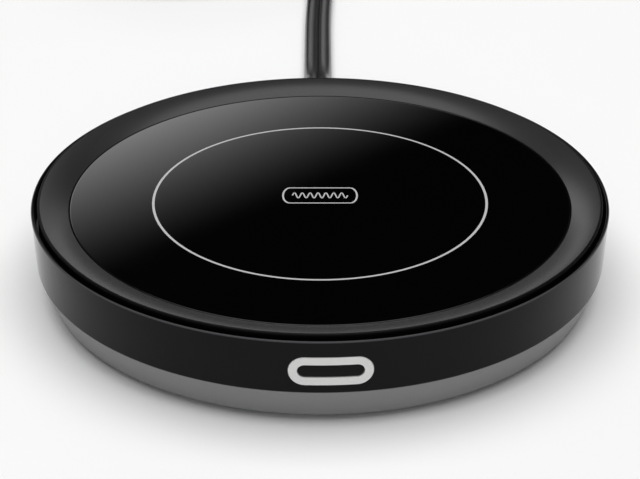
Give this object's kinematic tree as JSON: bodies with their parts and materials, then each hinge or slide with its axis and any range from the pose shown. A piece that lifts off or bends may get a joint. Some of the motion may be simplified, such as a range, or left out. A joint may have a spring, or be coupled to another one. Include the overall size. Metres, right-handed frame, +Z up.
{
  "type": "electric mug warmer",
  "caption": "Round electric mug warmer: glossy dark shell on a grey base, sprung black glass heating plate, pill-shaped front button in a pale light ring, flat mains lead with plug.",
  "frame": {"origin": "on the table under the centre of the round body (without the lead and plug)", "axes": "+Z up, +X to the right, -Y towards the user and the front button, +Y towards the lead"},
  "size_m": [0.1739, 0.369, 0.0218],
  "materials": {
    "gloss_black_shell": "high gloss moulded plastic",
    "grey_shell": "fine matte texture",
    "satin_collar": "satin dark grey",
    "black_glass": "polished, printed black underneath",
    "silver_print": "fine silver print",
    "pale_diffuser": "milky, slightly rough",
    "foot_rubber": "matte",
    "screw_steel": "plated",
    "spring_steel": "bright wire",
    "spreader_aluminium": "brushed",
    "heating_film": "amber film",
    "insulation": "pressed fibre",
    "inner_plastic": "heat resistant, plain",
    "circuit_board": "green solder mask",
    "component_black": "moulded",
    "component_green": "moulded",
    "component_yellow": "cast box",
    "fuse_metal": "plated caps and glass tube",
    "clear_light": "clear cast",
    "wire_cover": "soft cover",
    "cord_cover": "satin flexible cover",
    "blade_brass": "plated"
  },
  "bodies": {
    "base": {"lower_base": "grey_shell", "upper_housing": "gloss_black_shell", "rubber_feet": "foot_rubber", "base_screws": "screw_steel", "light_ring": "pale_diffuser", "plate_springs": "spring_steel", "plate_leads": "wire_cover", "strain_relief": "cord_cover", "switch_board": "circuit_board", "switch_board_screws": "screw_steel", "push_switch": "component_black", "indicator_leds": "clear_light", "control_board": "circuit_board", "board_screws": "screw_steel", "terminal_block": "component_green", "filter_capacitor": "component_yellow", "mains_fuse": "fuse_metal", "reservoir_capacitor": "component_black", "power_switch": "component_black", "control_chip": "component_black", "weight_switch": "component_black", "cord_clamp": "inner_plastic", "clamp_screws": "screw_steel", "mains_leads": "wire_cover", "switch_leads": "wire_cover", "cord_lead": "cord_cover", "cord_coil": "cord_cover", "cord_tail": "cord_cover", "plug_body": "cord_cover", "plug_blades": "blade_brass"},
    "plate": {"glass_plate": "black_glass", "glass_print": "silver_print", "plate_collar": "satin_collar", "plate_carrier": "inner_plastic", "plate_screws": "screw_steel", "stop_screws": "screw_steel", "heat_spreader": "spreader_aluminium", "heating_film": "heating_film", "insulation_pad": "insulation", "temperature_sensor": "component_black", "sensor_clip": "spring_steel", "clip_screws": "screw_steel", "thermal_fuse": "fuse_metal"},
    "button": {"power_button": "gloss_black_shell"}
  },
  "joints": [
    {"name": "plate_press", "type": "slide", "parent": "base", "child": "plate", "axis": [0, 0, 1], "range_m": [-0.0008, 0], "stiffness_N_per_m": 1500, "springref_m": 0.0018, "deforming": ["plate_springs", "plate_leads"]},
    {"name": "button_press", "type": "slide", "parent": "base", "child": "button", "axis": [0, 1, 0], "range_m": [0, 0.0005], "stiffness_N_per_m": 400, "springref_m": -0.001}
  ]
}
